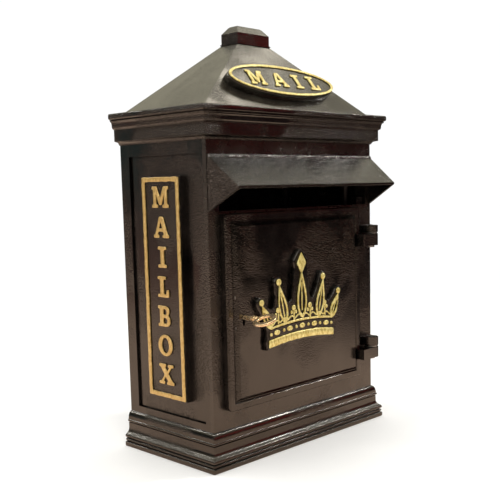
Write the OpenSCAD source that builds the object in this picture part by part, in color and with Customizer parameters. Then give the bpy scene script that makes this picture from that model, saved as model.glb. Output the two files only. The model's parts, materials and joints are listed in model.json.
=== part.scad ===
// Wall mounted mailbox: a cast box with a moulded base and cornice, a hipped roof,
// a hood over the letter slot and a side-hung door with a warded lock.
// Drawn from the underside of the base, then lowered so that the origin is the
// centre of the four wall fixings. +Z up, the wall is the plane y = 0, front faces -Y.

/* [Body] */
// Width across the two side panels
body_w = 250; // [240:1:262]
// Depth from the wall to the face of the front frame
body_d = 132.5; // [128:0.5:150]
// Height of the base up to the floor that the panels stand on
base_h = 31; // [31:0.5:36]
// Height of the four upright panels
panel_h = 287.5; // [287.5:0.5:300]
// Height of the cornice ring
cornice_h = 31.5; // [31.5:0.5:36]

/* [Castings] */
// Thickness of the front frame
front_t = 5; // [4:0.5:5]
// Thickness of the back panel
back_t = 4; // [3:0.5:5]
// Thickness of a side panel at its rim
side_t = 8; // [7:0.5:9]
// Depth of the recess in a side panel
recess_t = 2.5; // [2:0.5:4]

/* [Roof] */
// Rise of the roof from the cornice to the finial
roof_rise = 72.5; // [60:0.5:85]
// Width of the roof where it meets the finial
roof_top_w = 47; // [40:1:56]
// Depth of the roof where it meets the finial
roof_top_d = 25; // [22:1:30]
// Wall thickness of the roof
roof_t = 4; // [3:0.5:5]
// Height of the finial
finial_h = 19.5; // [14:0.5:26]

/* [Door] */
// Left edge of the door, from the centre line
door_left = 110.5; // [110:0.5:113]
// Right edge of the door, from the centre line
door_right = 96; // [94:0.5:96]
// Height of the door's lower edge above the underside of the base
door_low = 56; // [52:0.5:60]
// Height of the door
door_h = 193; // [190:0.5:193]
// How far the door's flange stands proud of the front frame
door_out = 8; // [7:0.5:9]
// How far the raised field stands proud of the flange
field_out = 2.5; // [1.5:0.5:3]

/* [Letter slot and hood] */
// Width of the letter slot
slot_w = 232; // [200:1:232]
// Height of the letter slot
slot_h = 43; // [30:1:43]
// Reach of the hood in front of the front frame
hood_out = 37.5; // [30:0.5:44]
// Drop of the hood from its top edge to its lip
hood_drop = 29; // [22:0.5:34]

/* [Lock] */
// Travel of the bolt for one full turn of the key
bolt_travel = 13; // [10:0.5:13]
// Angle at which the key was left, from bow level
key_rest = 20; // [0:5:40]
// Outside radius of the key's bow
bow_r = 12; // [10:0.5:14]

/* [Wall fixings] */
// Height of the centre of the fixing holes above the underside of the base
fix_h = 175; // [170:1:180]
// Distance between the fixing holes across the box
fix_w = 180; // [120:5:190]
// Distance between the fixing holes up the box
fix_rise = 210; // [150:5:215]
// Radius of each fixing hole
fix_r = 3.25; // [2.5:0.25:4]

/* [Smoothness] */
// Facets on a full circle
$fn = 48; // [24:8:96]

/* [Hidden] */

cast_black = [0.10, 0.10, 0.10];
gilt = [0.85, 0.70, 0.27];
ochre = [0.79, 0.58, 0.25];
brass = [0.78, 0.60, 0.30];
zinc = [0.62, 0.62, 0.64];

eps = 0.01;
hole_gap = 0.1;
cut = 1;
half_w = body_w / 2;
inner_w = half_w - side_t;
panel_top = base_h + panel_h;
cornice_top = panel_top + cornice_h;
roof_top = cornice_top + roof_rise;

// Mouldings: overhang and height of each point
base_out = 9.5;
cornice_out = 13.5;
skirt_t = 4;
floor_t = 5;

// Recess of a side panel: its margins at the front and back, its foot and its top
recess_front = 11.5;
recess_back = 14;
recess_low = 44.5;
recess_top = 306;

// Roof footprint
roof_edge = 1;
roof_back = 5;
roof_front = body_d - roof_edge;
ridge_y = 61.5;
slope_run = roof_front - ridge_y - roof_top_d / 2;
slope_angle = atan2(roof_rise, slope_run);

// Door, frame opening and slot
door_w = door_left + door_right;
door_top = door_low + door_h;
door_gap = 0.5;
door_rim = 4.5;
door_plate = 3.5;
open_left = 105;
open_right = 90;
open_low = 66;
open_top = 240;
slot_low = 251;

// Hood: height of its top edge, half width at the frame, lean of its cheeks, cheek thickness
// and height, rear bar
hood_top = 304;
hood_half = 124.5;
hood_lean = 4.5;
hood_t = 3;
hood_cheek = 53;
hood_bar = 10;
hood_xs = [-90, 0, 90];

// Hinges: the foot of the door lug, its top, and the top of the frame lug
hinge_levels = [[205, 218, 227.5], [76.5, 88, 99.5]];
hinge_x = 111;
hinge_out = 11;
lug_r = 8.5;
lug_gap = 2;
pin_r = 2.5;
pin_gap = 0.05;

// Lock, measured from the face of the front frame: plus is into the box
key_x = -91.5;
key_z = 148;
shank_r = 2.25;
bit_r = 7;
bit_t = 2.4;
case_left = -102.5;
case_right = -66;
case_low = 134;
case_top = 172;
case_wall = 1.5;
case_depth = 10.2;
bolt_front = 5.5;
bolt_t = 2.9;
bolt_low = 151;
bolt_h = 12;
bow_out = 31;
case_front = -body_d - door_out + door_plate;
case_back = -body_d + case_depth;

// Keeper on the back of the front frame
strike_t = 6;
strike_x = -110.5;

// Emblem on the door
crown_x = -13;
crown_z = 113;
crown_half = 50;
crown_sag = 4;
backing_t = 5;
relief_t = 1.8;

// Side plaques
plaque_t = 7;
plaque_low = 62.5;
plaque_h = 223.5;
plaque_w = 59;
plaque_y = -69.5;
border_t = 4.5;
letter_h = 21;
letter_pitch = 29.6;

// Oval plaque
oval_a = 78;
oval_b = 21;
oval_up = 34;
oval_t = 8;

// Fasteners
screw_r = 2;
head_r = 3.6;
head_h = 2.2;
rod_r = 3;
rod_x = 107;
rod_ys = [-16, -110];
bracket_zs = [100, 241];
bracket_leg = 11;
bracket_t = 2.5;
bracket_h = 18;

// --- placing -------------------------------------------------------------

// Everything is drawn from the underside of the base
module place() {
  translate([0, 0, -fix_h]) children();
}

// A flat drawing (x right, y up) stood on the front, raised towards the viewer
module on_front(y) {
  translate([0, y, 0]) rotate([90, 0, 0]) children();
}

module on_left(x) {
  translate([-x, 0, 0]) rotate([90, 0, -90]) children();
}

module on_right(x) {
  translate([x, 0, 0]) rotate([90, 0, 90]) children();
}

// The front slope of the roof: x across, y up the slope, z out of it
module on_slope() {
  translate([0, -roof_front, cornice_top]) rotate([slope_angle, 0, 0]) children();
}

module box(x0, x1, y0, y1, z0, z1) {
  translate([x0, y0, z0]) cube([x1 - x0, y1 - y0, z1 - z0]);
}

// --- outlines ------------------------------------------------------------

function arc(cx, cy, rx, ry, a0, a1, n) =
  [for (i = [0 : n]) let (a = a0 + (a1 - a0) * i / n) [cx + rx * cos(a), cy + ry * sin(a)]];

function ellipse(rx, ry, n) = [for (i = [0 : n - 1]) [rx * cos(360 * i / n), ry * sin(360 * i / n)]];

module rounded(w, h, r) {
  polygon(concat(
    arc(w - r, r, r, r, -90, 0, 6), arc(w - r, h - r, r, r, 0, 90, 6),
    arc(r, h - r, r, r, 90, 180, 6), arc(r, r, r, r, 180, 270, 6)));
}

// Base: foot, small bead, large bead, cove, plain face, groove, bead and rounded shoulder
base_outline = concat(
  [[-skirt_t, 0], [base_out - 0.8, 0], [base_out, 0.8], [base_out, 4.4], [base_out - 0.8, 5], [7.4, 5.2]],
  arc(7.4, 7.2, 1.4, 1.4, -75, 75, 6),
  [[7, 8.9]],
  arc(6.6, 11.4, 2.6, 2.4, -75, 70, 8),
  arc(8, 20, 4, 6, 256, 184, 7),
  [[4, base_h - 6.2], [3.3, base_h - 5.7], [3.3, base_h - 5.3]],
  arc(4, base_h - 3.8, 1.1, 1.4, -75, 75, 5),
  arc(0.2, base_h - 1.8, 4, 8, 5, 86, 6),
  [[0, base_h + 6.4], [0, base_h - 1], [-skirt_t, base_h - 1]]);

// Cornice, from its foot: small cove, broad band, ogee, fine bead and rounded fascia
cornice_outline = concat(
  [[-side_t, 0]],
  arc(4.6, 0, 3.2, 3.2, 180, 90, 5),
  [[7, 3.8], [7, cornice_h - 16]],
  arc(8, cornice_h - 11.8, 1.5, 3.6, -90, 0, 5),
  arc(11.1, cornice_h - 11.8, 1.6, 3.6, 170, 96, 5),
  arc(11, cornice_h - 7.3, 0.8, 0.8, -75, 75, 4),
  arc(cornice_out - 1.1, cornice_h - 4.6, 1.1, 1.1, -80, 0, 3),
  arc(cornice_out - 1.6, cornice_h - 1.6, 1.6, 1.6, 0, 90, 4),
  [[-side_t, cornice_h]]);

// A long run of moulding along x, with its overhang towards -y
module run(outline) {
  length = 2 * (body_w + body_d);
  translate([length / 2, 0, 0]) rotate([90, 0, -90]) linear_extrude(length) polygon(outline);
}

// A moulding round the front and both sides, mitred, and flush with the wall at the back
module moulding(outline) {
  reach = 60;
  front = -body_d;
  intersection() {
    translate([0, front, 0]) run(outline);
    linear_extrude(reach) polygon([
      [-half_w + reach, front + reach], [-half_w - reach, front - reach],
      [half_w + reach, front - reach], [half_w - reach, front + reach]]);
  }
  for (s = [-1, 1]) intersection() {
    translate([s * half_w, 0, 0]) rotate([0, 0, s * 90]) run(outline);
    linear_extrude(reach) polygon([
      [s * (half_w - reach), front + reach], [s * (half_w + reach), front - reach],
      [s * (half_w + reach), 0], [s * (half_w - reach), 0]]);
  }
}

// --- castings ------------------------------------------------------------

module floor_plate() {
  difference() {
    box(-half_w, half_w, -body_d, 0, base_h - floor_t, base_h);
    for (x = [-rod_x, rod_x], y = rod_ys)
      translate([x, y, 0]) cylinder(r = rod_r + hole_gap, h = base_h + 1);
  }
}

module base_plinth() {
  color(cast_black) place() union() {
    moulding(base_outline);
    floor_plate();
    box(-half_w, half_w, -skirt_t, 0, 0, base_h - 1);
  }
}

module back_panel() {
  color(cast_black) place() difference() {
    box(-half_w, half_w, -back_t, 0, base_h, panel_top);
    for (x = [-1, 1], z = [-1, 1])
      translate([x * fix_w / 2, 1, fix_h + z * fix_rise / 2])
        rotate([90, 0, 0]) cylinder(r = fix_r, h = back_t + 2);
    bracket_screw_holes(false);
  }
}

// Side panel on the right; the left one is its mirror image
module side_casting() {
  difference() {
    box(inner_w, half_w, -body_d + front_t, -back_t, base_h, panel_top);
    box(half_w - recess_t, half_w + cut, -body_d + recess_front, -recess_back, recess_low, recess_top);
    plaque_screw_holes();
    bracket_screw_holes(true);
  }
}

module right_side_panel() {
  color(cast_black) place() side_casting();
}

module left_side_panel() {
  color(cast_black) place() mirror([1, 0, 0]) side_casting();
}

module frame_lug(level) {
  translate([hinge_x, -body_d - hinge_out, level[1] + lug_gap])
    difference() {
      union() {
        cylinder(r = lug_r, h = level[2] - level[1] - lug_gap);
        box(-lug_r, lug_r, 0, hinge_out, 0, level[2] - level[1] - lug_gap);
      }
      translate([0, 0, -1]) cylinder(r = pin_r + pin_gap, h = 40);
    }
}

module front_frame() {
  color(cast_black) place() union() {
    difference() {
      box(-half_w, half_w, -body_d, -body_d + front_t, base_h, panel_top);
      box(-open_left, open_right, -body_d - 1, -body_d + front_t + 1, open_low, open_top);
      box(-slot_w / 2, slot_w / 2, -body_d - 1, -body_d + front_t + 1, slot_low, slot_low + slot_h);
      hood_screw_holes();
      strike_screw_holes();
      bracket_screw_holes(false);
    }
    for (level = hinge_levels) frame_lug(level);
  }
}

module cornice() {
  color(cast_black) place() union() {
    translate([0, 0, panel_top]) moulding(cornice_outline);
    box(-half_w, half_w, -back_t, 0, panel_top, cornice_top);
  }
}

// Solid between the two rectangles of the hipped roof, moved in by t
module hip_solid(t, z0, z1) {
  side_in = t / sin(atan2(roof_rise, half_w - roof_edge - roof_top_w / 2));
  front_in = t / sin(slope_angle);
  back_in = t / sin(atan2(roof_rise, ridge_y - roof_top_d / 2 - roof_back));
  intersection() {
    translate([0, 1, 0]) rotate([90, 0, 0]) linear_extrude(body_d + 2) polygon([
      [-half_w + roof_edge + side_in, z0], [half_w - roof_edge - side_in, z0],
      [roof_top_w / 2 - side_in, z1], [-roof_top_w / 2 + side_in, z1]]);
    rotate([90, 0, 90]) translate([0, 0, -half_w]) linear_extrude(body_w) polygon([
      [-roof_front + front_in, z0], [-roof_back - back_in, z0],
      [-ridge_y + roof_top_d / 2 - back_in, z1], [-ridge_y - roof_top_d / 2 + front_in, z1]]);
  }
}

module roof_boss(x, y) {
  translate([x, y, cornice_top]) cylinder(r = 7, h = 14);
}

module roof() {
  stud_plate = 6;
  color(cast_black) place() difference() {
    union() {
      difference() {
        hip_solid(0, cornice_top, roof_top);
        intersection() {
          hip_solid(roof_t, cornice_top, roof_top);
          box(-half_w, half_w, -body_d, 0, cornice_top - 1, roof_top - stud_plate);
        }
      }
      intersection() {
        hip_solid(0, cornice_top, roof_top);
        for (x = [-rod_x, rod_x], y = rod_ys) roof_boss(x, y);
      }
    }
    for (x = [-rod_x, rod_x], y = rod_ys)
      translate([x, y, cornice_top - 1]) cylinder(r = rod_r + hole_gap, h = 9);
    translate([0, -ridge_y, roof_top - 20]) cylinder(r = 4 + hole_gap, h = 30);
    oval_screw_holes();
  }
}

module finial() {
  w = roof_top_w / 2;
  d = roof_top_d / 2;
  foot = 1.2;
  lip = 1;
  shoulder = finial_h * 0.6;
  color(cast_black) place() union() {
    box(-w - lip, w + lip, -ridge_y - d - lip, -ridge_y + d + lip, roof_top, roof_top + foot);
    intersection() {
      translate([0, 0, roof_top]) rotate([90, 0, 0]) linear_extrude(body_d) polygon([
        [-w, 0], [w, 0], [w, shoulder], [w - 5, finial_h - 1], [w - 6.5, finial_h],
        [-w + 6.5, finial_h], [-w + 5, finial_h - 1], [-w, shoulder]]);
      translate([0, -ridge_y, roof_top]) rotate([90, 0, 90]) translate([0, 0, -w - 1])
        linear_extrude(2 * w + 2) polygon([
          [-d, 0], [d, 0], [d, shoulder], [d - 6, finial_h - 1], [d - 7.2, finial_h],
          [-d + 7.2, finial_h], [-d + 6, finial_h - 1], [-d, shoulder]]);
    }
    translate([0, -ridge_y, roof_top - 16]) cylinder(r = 4, h = 17);
  }
}

module finial_nut() {
  color(zinc) place() translate([0, -ridge_y, roof_top - 12.6]) difference() {
    cylinder(r = 7.4, h = 6.5, $fn = 6);
    translate([0, 0, -1]) cylinder(r = 4 + hole_gap, h = 10);
  }
}

// Section of the hood: a bead along the top, a sloping plate and a small rounded lip
module hood_section() {
  nose = 1.4;
  polygon([
    [0, 1.2], [-1.1, 1.1], [-2, 0.4], [-2.5, -0.6], [-2.9, -2.25],
    [-hood_out + nose, -hood_drop + nose * 0.7], [-hood_out, -hood_drop],
    [-hood_out, -hood_drop - 2], [-hood_out + 2, -hood_drop - 2.8],
    [-5, -hood_bar], [0, -hood_bar]]);
}

module hood_cheek_section() {
  polygon([[0, 0], [-hood_out + 1.4, -hood_drop + 1], [-hood_out, -hood_drop - 2], [0, -hood_cheek]]);
}

// Plan of the hood, narrowing from the frame to the lip, with its edges moved in by t
function hood_plan(t) = [
  [-hood_half + t, 0], [-hood_half + hood_lean + t, -hood_out],
  [hood_half - hood_lean - t, -hood_out], [hood_half - t, 0]];

// A section of the hood carried across between its cheeks
module hood_across() {
  intersection() {
    rotate([90, 0, 90]) translate([0, 0, -half_w]) linear_extrude(body_w) children();
    translate([0, 0, -hood_cheek]) linear_extrude(2 * hood_cheek) polygon(hood_plan(0));
  }
}

module hood() {
  color(cast_black) place() difference() {
    translate([0, -body_d, hood_top]) union() {
      hood_across() hood_section();
      difference() {
        hood_across() hood_cheek_section();
        translate([0, 0, -hood_cheek - 1]) linear_extrude(2 * hood_cheek) polygon(hood_plan(hood_t));
      }
    }
    hood_screw_holes();
  }
}

// --- screws --------------------------------------------------------------

// A pan-head screw along +z with its head below the origin
module screw(length) {
  difference() {
    union() {
      translate([0, 0, -head_h]) cylinder(r = head_r, h = head_h);
      cylinder(r = screw_r, h = length);
    }
    translate([-head_r, -0.4, -head_h - 1]) cube([2 * head_r, 0.8, 1.9]);
  }
}

module screw_hole(length) {
  translate([0, 0, -eps]) cylinder(r = screw_r + hole_gap, h = length + hole_gap);
}

// Hood screws pass through the front frame from the inside
module at_hood_screws() {
  for (x = hood_xs)
    translate([x, -body_d + front_t, hood_top - 6]) rotate([90, 0, 0]) children();
}

module hood_screw_holes() {
  at_hood_screws() screw_hole(8.5);
}

module hood_screws() {
  color(zinc) place() at_hood_screws() screw(8.2);
}

module at_strike_screws() {
  for (z = [bolt_low - 6, bolt_low + bolt_h + 6])
    translate([strike_x, -body_d + front_t + strike_t, z]) rotate([90, 0, 0]) children();
}

module strike_screw_holes() {
  at_strike_screws() screw_hole(strike_t + 3);
}

module strike_screws() {
  color(zinc) place() at_strike_screws() screw(strike_t + 2.8);
}

module at_plaque_screws() {
  for (z = [plaque_low + 20, plaque_low + plaque_h - 20])
    translate([inner_w, plaque_y, z]) rotate([0, 90, 0]) children();
}

module plaque_screw_holes() {
  at_plaque_screws() screw_hole(9);
}

module at_oval_screws() {
  for (x = [-50, 50])
    on_slope() translate([x, oval_up, -roof_t]) children();
}

module oval_screw_holes() {
  at_oval_screws() screw_hole(roof_t + 5);
}

module plaque_screws() {
  color(zinc) place() union() {
    at_plaque_screws() screw(8.8);
    mirror([1, 0, 0]) at_plaque_screws() screw(8.8);
    at_oval_screws() screw(roof_t + 4.8);
  }
}

// --- tie rods and brackets -----------------------------------------------

module tie_rods() {
  color(zinc) place() for (x = [-rod_x, rod_x], y = rod_ys)
    translate([x, y, base_h - floor_t - 9])
      cylinder(r = rod_r, h = cornice_top + 7.5 - base_h + floor_t + 9);
}

module tie_nuts() {
  color(zinc) place() for (x = [-rod_x, rod_x], y = rod_ys)
    translate([x, y, base_h - floor_t - 6.6]) difference() {
      cylinder(r = 5.8, h = 5, $fn = 6);
      translate([0, 0, -1]) cylinder(r = rod_r + hole_gap, h = 8);
    }
}

module tie_washers() {
  color(zinc) place() for (x = [-rod_x, rod_x], y = rod_ys)
    translate([x, y, base_h - floor_t - 1.6]) difference() {
      cylinder(r = 7, h = 1.6);
      translate([0, 0, -1]) cylinder(r = rod_r + hole_gap, h = 4);
    }
}

// Children are drawn at the front right corner, at each height
module at_corners() {
  for (s = [0, 1], z = bracket_zs) mirror([s, 0, 0]) {
    translate([inner_w, -body_d + front_t, z]) children();
    translate([inner_w, -back_t, z]) mirror([0, 1, 0]) children();
  }
}

module at_bracket_screws(side) {
  translate([-bracket_t, bracket_leg - 3.5 + bracket_t, bracket_h / 2])
    if (side) rotate([0, 90, 0]) children();
  translate([-bracket_leg + 4.5, bracket_t, bracket_h / 2])
    if (!side) rotate([90, 0, 0]) children();
}

module bracket_screw_holes(side) {
  at_corners() at_bracket_screws(side) screw_hole(bracket_t + 2.6);
}

module corner_brackets() {
  color(zinc) place() at_corners() difference() {
    union() {
      box(-bracket_leg, 0, 0, bracket_t, 0, bracket_h);
      box(-bracket_t, 0, 0, bracket_leg + bracket_t, 0, bracket_h);
    }
    for (side = [true, false]) at_bracket_screws(side) screw_hole(bracket_t + cut);
  }
}

module bracket_screws() {
  color(zinc) place() at_corners() {
    for (side = [true, false]) at_bracket_screws(side) screw(bracket_t + 2.4);
  }
}

// --- hinges --------------------------------------------------------------

module hinge_pins() {
  head = 2;
  color(zinc) place() for (level = hinge_levels)
    translate([hinge_x, -body_d - hinge_out, level[0] - 0.3]) union() {
      translate([0, 0, -head]) cylinder(r = 4.5, h = head);
      cylinder(r = pin_r, h = level[2] - level[0] + 1.1);
    }
}

module hinge_washers() {
  color(zinc) place() for (level = hinge_levels)
    translate([hinge_x, -body_d - hinge_out, level[1] + 0.3]) difference() {
      cylinder(r = lug_r - 0.8, h = lug_gap - 0.6);
      translate([0, 0, -1]) cylinder(r = pin_r + pin_gap, h = 4);
    }
}

module door_lug(level) {
  translate([hinge_x, -body_d - hinge_out, level[0]]) union() {
    cylinder(r = lug_r, h = level[1] - level[0]);
    box(-hinge_x + door_right - 9, 0, -lug_r, lug_r, 0, level[1] - level[0]);
  }
}

// --- door ----------------------------------------------------------------

module keyhole(round_r, slot_t) {
  union() {
    circle(r = round_r);
    translate([-slot_t / 2, -bit_r - 0.8]) square([slot_t, bit_r]);
  }
}

door_face = -body_d - door_out;

// Section of the door's plate from one edge to the other, with its front corners rounded
function plate_section(low, high, back, r) = concat(
  [[low, back]], arc(low + r, door_face + r, r, r, 180, 270, 5),
  arc(high - r, door_face + r, r, r, 270, 360, 5), [[high, back]]);

// Two crossed sections, one seen from above and one from the side
module crossed(plan, side) {
  intersection() {
    linear_extrude(2 * door_top) polygon(plan);
    rotate([90, 0, 90]) translate([0, 0, -half_w]) linear_extrude(body_w)
      polygon([for (p = side) [p[1], p[0]]]);
  }
}

module door_slab(back) {
  edge_r = 2.2;
  intersection() {
    crossed(plate_section(-door_left, door_right, back, edge_r),
      plate_section(door_low, door_top, back, edge_r));
    translate([-door_left, back, door_low]) rotate([90, 0, 0])
      linear_extrude(door_out) rounded(door_w, door_h, 5);
  }
}

// A block inset from the door's edges at y0 whose sides slope in by spread up to y1
function block_section(low, high, inset, spread, y0, y1) = [
  [low + inset, y0 + 0.4], [low + inset, y0], [low + inset + spread, y1],
  [high - inset - spread, y1], [high - inset, y0], [high - inset, y0 + 0.4]];

module door_block(inset, spread, y0, y1) {
  crossed(block_section(-door_left, door_right, inset, spread, y0, y1),
    block_section(door_low, door_top, inset, spread, y0, y1));
}

module door() {
  groove_in = 7;
  groove_t = 1.6;
  color(cast_black) place() difference() {
    union() {
      difference() {
        door_slab(-body_d - door_gap);
        door_block(groove_in + groove_t - 0.4, -groove_t - 0.6, door_face + groove_t - 0.4, door_face - 1);
      }
      door_block(groove_in + 2, 4, door_face + groove_t, door_face - field_out);
      for (level = hinge_levels) door_lug(level);
    }
    box(-door_left + door_rim, door_right - door_rim, -body_d - door_out + door_plate, -body_d + 1,
        door_low + door_rim, door_top - door_rim);
    for (level = hinge_levels)
      translate([hinge_x, -body_d - hinge_out, level[0] - 1]) cylinder(r = pin_r + pin_gap, h = 40);
    translate([key_x, -body_d, key_z]) rotate([90, 0, 0]) linear_extrude(20) keyhole(3.2, 3);
    crown_screw_holes();
    lock_screw_holes();
  }
}

// --- emblem --------------------------------------------------------------

// The coronet is drawn about its own centre line; its foot bows upwards
function foot_at(x) = crown_sag * (1 - pow(x / crown_half, 2));

function band(lo, hi, half) = concat(
  [for (i = [-8 : 8]) let (x = half * i / 8) [x, foot_at(x) + lo]],
  [for (i = [8 : -1 : -8]) let (x = half * i / 8) [x, foot_at(x) + hi]]);

// Spires: foot x, foot height, tip x, tip height, half width, ball radius
spires = [
  [-46, 19, -59, 45, 5.5, 3.4], [-25, 22, -34, 63, 6.5, 3.6], [0, 24, 0, 74, 7.5, 0],
  [25, 22, 34, 63, 6.5, 3.6], [46, 19, 59, 45, 5.5, 3.4]];

// A leaf outline between two points, w wide each side at its fullest
function leaf(x0, y0, x1, y1, w) = let (
  l = norm([x1 - x0, y1 - y0]), ux = (x1 - x0) / l, uy = (y1 - y0) / l, n = 10)
  concat(
    [for (i = [0 : n]) let (t = i / n, s = w * leaf_width(t))
      [x0 + ux * l * t + uy * s, y0 + uy * l * t - ux * s]],
    [for (i = [n - 1 : -1 : 1]) let (t = i / n, s = w * leaf_width(t))
      [x0 + ux * l * t - uy * s, y0 + uy * l * t + ux * s]]);

function leaf_width(t) = sin(180 * pow(t, 0.8)) * (1 - 0.25 * t) + 0.12 * (1 - t);

module spire_outline(s, grow) {
  polygon(leaf(s[0], s[1] - grow, s[2], s[3] + grow, s[4] + grow));
}

module lozenge(w, h) {
  polygon([[0, -h], [w, 0], [0, h], [-w, 0]]);
}

module coronet_2d() {
  rim = 1.7;
  polygon(band(0, 8, crown_half));
  polygon(band(18.4, 20.6, crown_half - 2));
  for (x = [-38 : 19 : 38]) translate([x, foot_at(x) + 13.2]) polygon(ellipse(4.2, 2.6, 24));
  for (x = [-47.5 : 19 : 47.5]) translate([x * 0.98, foot_at(x) + 13.2]) circle(r = 1.7);
  for (s = spires) {
    difference() {
      spire_outline(s, 0);
      polygon(leaf(s[0] + 0.1 * (s[2] - s[0]), s[1] + 3, s[2] - 0.08 * (s[2] - s[0]), s[3] - 6, s[4] - rim));
    }
    translate([s[2], s[3] + s[5] * 0.6]) circle(r = max(s[5], 0.5));
  }
  for (x = [-36, -12.5, 12.5, 36]) {
    translate([x - 0.8, 20]) square([1.6, 15]);
    translate([x, 36]) circle(r = 3);
  }
  translate([0, 82]) lozenge(7, 11.5);
}

// Backing: the silhouette of the coronet with a margin round it
backing_2d = concat(
  [[-crown_half - 3, -3], [0, crown_sag - 3], [crown_half + 3, -3], [crown_half + 2, 18]],
  [[66, 46], [62, 53], [54, 50], [43, 38]],
  [[40, 66], [34, 71], [28, 66], [22, 50]],
  [[11, 74], [11, 86], [0, 98], [-11, 86], [-11, 74]],
  [[-22, 50], [-28, 66], [-34, 71], [-40, 66]],
  [[-43, 38], [-54, 50], [-62, 53], [-66, 46], [-crown_half - 2, 18]]);

field_face = door_face - field_out;

module crown_backing() {
  color(cast_black) place() difference() {
    on_front(field_face) translate([crown_x, crown_z, 0]) linear_extrude(backing_t) polygon(backing_2d);
    crown_screw_holes();
  }
}

module crown_gilding() {
  color(gilt) place() on_front(field_face - backing_t) translate([crown_x, crown_z, 0])
    linear_extrude(relief_t) coronet_2d();
}

// Two screws hold the emblem from inside the door
module at_crown_screws() {
  for (x = [-30, 30])
    translate([crown_x + x, -body_d - door_out + door_plate, crown_z + 14]) rotate([90, 0, 0]) children();
}

module crown_screw_holes() {
  at_crown_screws() screw_hole(door_plate + field_out + 2.2);
}

module crown_screws() {
  color(zinc) place() at_crown_screws() screw(door_plate + field_out + 2);
}

// --- plaques and lettering -----------------------------------------------

// Slab-serif capitals on a grid 20 high: [width, outer outline, counters]
slab_i = [12, [[0, 0], [12, 0], [12, 3], [8.5, 3], [8.5, 17], [12, 17], [12, 20], [0, 20], [0, 17],
  [3.5, 17], [3.5, 3], [0, 3]], []];
slab_l = [16, [[0, 0], [16, 0], [16, 7.5], [13.2, 7.5], [12, 3], [8.5, 3], [8.5, 17], [12, 17], [12, 20],
  [0, 20], [0, 17], [3.5, 17], [3.5, 3], [0, 3]], []];
slab_m = [24, [[0, 0], [8.5, 0], [8.5, 3], [6, 3], [6, 13], [10.6, 2.5], [13.4, 2.5], [18, 13], [18, 3],
  [15.5, 3], [15.5, 0], [24, 0], [24, 3], [22, 3], [22, 17], [24, 17], [24, 20], [17, 20], [12, 8.6],
  [7, 20], [0, 20], [0, 17], [2, 17], [2, 3], [0, 3]], []];
slab_a = [22, [[0, 0], [7.8, 0], [7.8, 3], [5.6, 3], [6.7, 6], [14, 6], [15.1, 3], [12.9, 3], [12.9, 0],
  [22, 0], [22, 3], [20.3, 3], [13.8, 20], [8.6, 20], [2, 3], [0, 3]],
  [[[7.8, 9], [12.9, 9], [10.4, 15.6]]]];
slab_b = [18, concat(
  [[0, 0]], arc(11.6, 5.6, 6, 5.6, -90, 56, 8), arc(11, 15.1, 5.4, 4.9, -50, 90, 8),
  [[0, 20], [0, 17], [2.5, 17], [2.5, 3], [0, 3]]),
  [concat([[7.5, 3]], arc(10.6, 5.8, 2.8, 2.8, -90, 90, 6), [[7.5, 8.6]]),
   concat([[7.5, 11.6]], arc(10.2, 14.3, 2.7, 2.7, -90, 90, 6), [[7.5, 17]])]];
slab_o = [21, arc(10.5, 10, 10.5, 10.4, 0, 345, 23), [arc(10.5, 10, 5.4, 7.6, 0, 345, 23)]];
slab_x = [22, [[0, 0], [8, 0], [8, 3], [6.2, 3], [9.9, 7.9], [13.4, 3], [11.6, 3], [11.6, 0], [22, 0],
  [22, 3], [20, 3], [13.6, 10.8], [18.6, 17], [21.5, 17], [21.5, 20], [13.5, 20], [13.5, 17], [15.4, 17],
  [12, 12.6], [8.8, 17], [10.6, 17], [10.6, 20], [0.5, 20], [0.5, 17], [2.4, 17], [8.4, 9.6], [3, 3],
  [0, 3]], []];

mailbox_word = [slab_m, slab_a, slab_i, slab_l, slab_b, slab_o, slab_x];
mail_word = [slab_m, slab_a, slab_i, slab_l];
grid_h = 20;

module glyph(g, cap) {
  k = cap / grid_h;
  scale([k, k, k]) translate([-g[0] / 2, 0]) difference() {
    polygon(g[1]);
    for (c = g[2]) polygon(c);
  }
}

// Where letter i of a word ends, with the word starting at 0
function word_end(word, i, k, gap) =
  i == 0 ? word[0][0] * k : word_end(word, i - 1, k, gap) + gap + word[i][0] * k;

module plaque_outline(inset) {
  translate([-plaque_w / 2 + inset, inset])
    rounded(plaque_w - 2 * inset, plaque_h - 2 * inset, 1.5);
}

// Side plaque drawn flat, its foot at the origin
module side_plaque_flat() {
  linear_extrude(plaque_t) plaque_outline(0);
}

module side_gilding_flat() {
  border_in = 1.2;
  relief = 1.6;
  linear_extrude(relief) difference() {
    plaque_outline(border_in);
    plaque_outline(border_in + border_t);
  }
  top = plaque_h - border_t - border_in - 4.4;
  for (i = [0 : len(mailbox_word) - 1])
    translate([0, top - letter_h - i * letter_pitch])
      linear_extrude(relief) glyph(mailbox_word[i], letter_h);
}

plaque_foot = half_w - recess_t;

module left_plaque() {
  color(cast_black) place() difference() {
    on_left(plaque_foot) translate([-plaque_y, plaque_low, 0]) side_plaque_flat();
    mirror([1, 0, 0]) plaque_screw_holes();
  }
}

module left_gilding() {
  color(ochre) place() on_left(plaque_foot + plaque_t)
    translate([-plaque_y, plaque_low, 0]) side_gilding_flat();
}

module right_plaque() {
  color(cast_black) place() difference() {
    on_right(plaque_foot) translate([plaque_y, plaque_low, 0]) side_plaque_flat();
    plaque_screw_holes();
  }
}

module right_gilding() {
  color(ochre) place() on_right(plaque_foot + plaque_t)
    translate([plaque_y, plaque_low, 0]) side_gilding_flat();
}

module oval_plaque() {
  color(cast_black) place() difference() {
    on_slope() translate([0, oval_up, 0]) linear_extrude(oval_t) polygon(ellipse(oval_a, oval_b, 96));
    oval_screw_holes();
  }
}

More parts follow.
